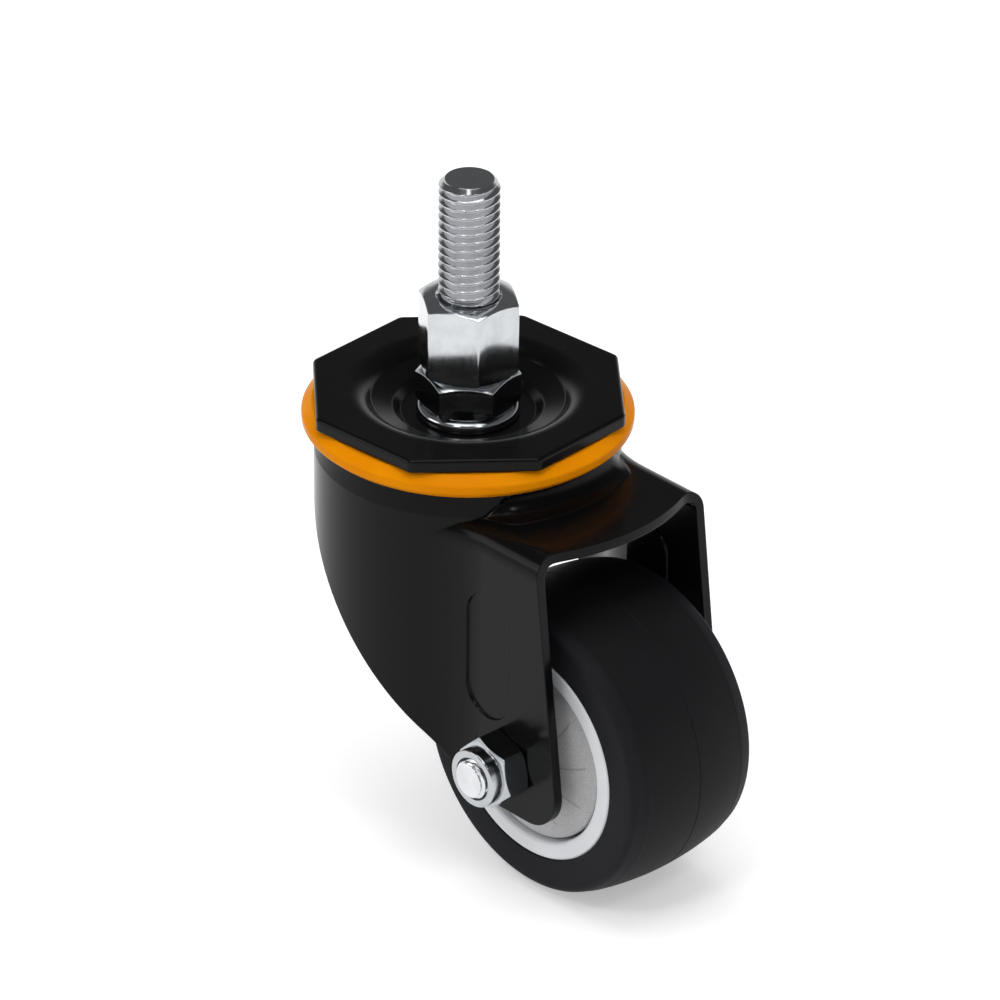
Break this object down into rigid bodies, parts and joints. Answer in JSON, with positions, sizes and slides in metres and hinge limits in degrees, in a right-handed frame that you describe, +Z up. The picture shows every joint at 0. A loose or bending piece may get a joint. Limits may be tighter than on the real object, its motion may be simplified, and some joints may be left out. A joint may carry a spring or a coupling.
{
  "type": "threaded stem swivel caster",
  "caption": "Swivel caster with a threaded stem, a black pressed fork, an amber dust ring and a black tyred wheel on ball bearings.",
  "frame": {"origin": "on the swivel axis, at the seat on top of the lock nut, where the carried frame rests", "axes": "+Z up along the threaded stem and swivel axis, +X from the swivel axis towards the wheel, +Y along the axle towards the bolt's head"},
  "size_m": [0.0993, 0.0652, 0.1379],
  "materials": {
    "zinc": "bright zinc plate",
    "black_enamel": "gloss black enamel",
    "ball_steel": "polished",
    "race_steel": "turned, oiled",
    "amber_plastic": "smooth moulded",
    "white_plastic": "smooth moulded",
    "grey_plastic": "fine moulded grain",
    "black_rubber": "matte moulded",
    "nylon": "moulded"
  },
  "bodies": {
    "stem_side": {"king_bolt": "zinc", "lock_nut": "zinc", "clamp_nut": "zinc", "clamp_washer": "zinc", "top_plate": "black_enamel", "lower_race": "race_steel"},
    "swivel": {"fork": "black_enamel", "dust_ring": "amber_plastic", "axle_bolt": "zinc", "axle_nut": "zinc", "nylon_ring": "nylon", "bearing_spacer": "race_steel", "nut_side_inner_ring": "race_steel", "nut_side_thread_guard": "grey_plastic", "head_side_inner_ring": "race_steel", "head_side_thread_guard": "grey_plastic"},
    "wheel": {"wheel_core": "white_plastic", "tyre": "black_rubber", "nut_side_outer_ring": "race_steel", "nut_side_bearing_shields": "race_steel", "head_side_outer_ring": "race_steel", "head_side_bearing_shields": "race_steel"},
    "upper_ball_ring": {"upper_balls": "ball_steel"},
    "lower_ball_ring": {"lower_balls": "ball_steel"},
    "nut_side_ball_set": {"nut_side_bearing_balls": "ball_steel", "nut_side_ball_cage": "race_steel"},
    "head_side_ball_set": {"head_side_bearing_balls": "ball_steel", "head_side_ball_cage": "race_steel"}
  },
  "joints": [
    {"name": "swivel_turn", "type": "hinge", "parent": "stem_side", "child": "swivel", "pos_m": [0, 0, 0], "axis": [0, 0, 1], "continuous": true},
    {"name": "wheel_spin", "type": "hinge", "parent": "swivel", "child": "wheel", "pos_m": [0.0353, 0, -0.0814], "axis": [0, 1, 0], "continuous": true},
    {"name": "upper_ball_orbit", "type": "hinge", "parent": "stem_side", "child": "upper_ball_ring", "pos_m": [0, 0, 0], "axis": [0, 0, 1], "continuous": true},
    {"name": "lower_ball_orbit", "type": "hinge", "parent": "stem_side", "child": "lower_ball_ring", "pos_m": [0, 0, 0], "axis": [0, 0, 1], "continuous": true},
    {"name": "nut_side_ball_orbit", "type": "hinge", "parent": "swivel", "child": "nut_side_ball_set", "pos_m": [0.0353, 0, -0.0814], "axis": [0, 1, 0], "continuous": true},
    {"name": "head_side_ball_orbit", "type": "hinge", "parent": "swivel", "child": "head_side_ball_set", "pos_m": [0.0353, 0, -0.0814], "axis": [0, 1, 0], "continuous": true}
  ],
  "couplings": [
    {"joint": "upper_ball_orbit", "follows": "swivel_turn", "ratio": 0.5},
    {"joint": "lower_ball_orbit", "follows": "swivel_turn", "ratio": 0.5},
    {"joint": "nut_side_ball_orbit", "follows": "wheel_spin", "ratio": 0.6281},
    {"joint": "head_side_ball_orbit", "follows": "wheel_spin", "ratio": 0.6281}
  ]
}
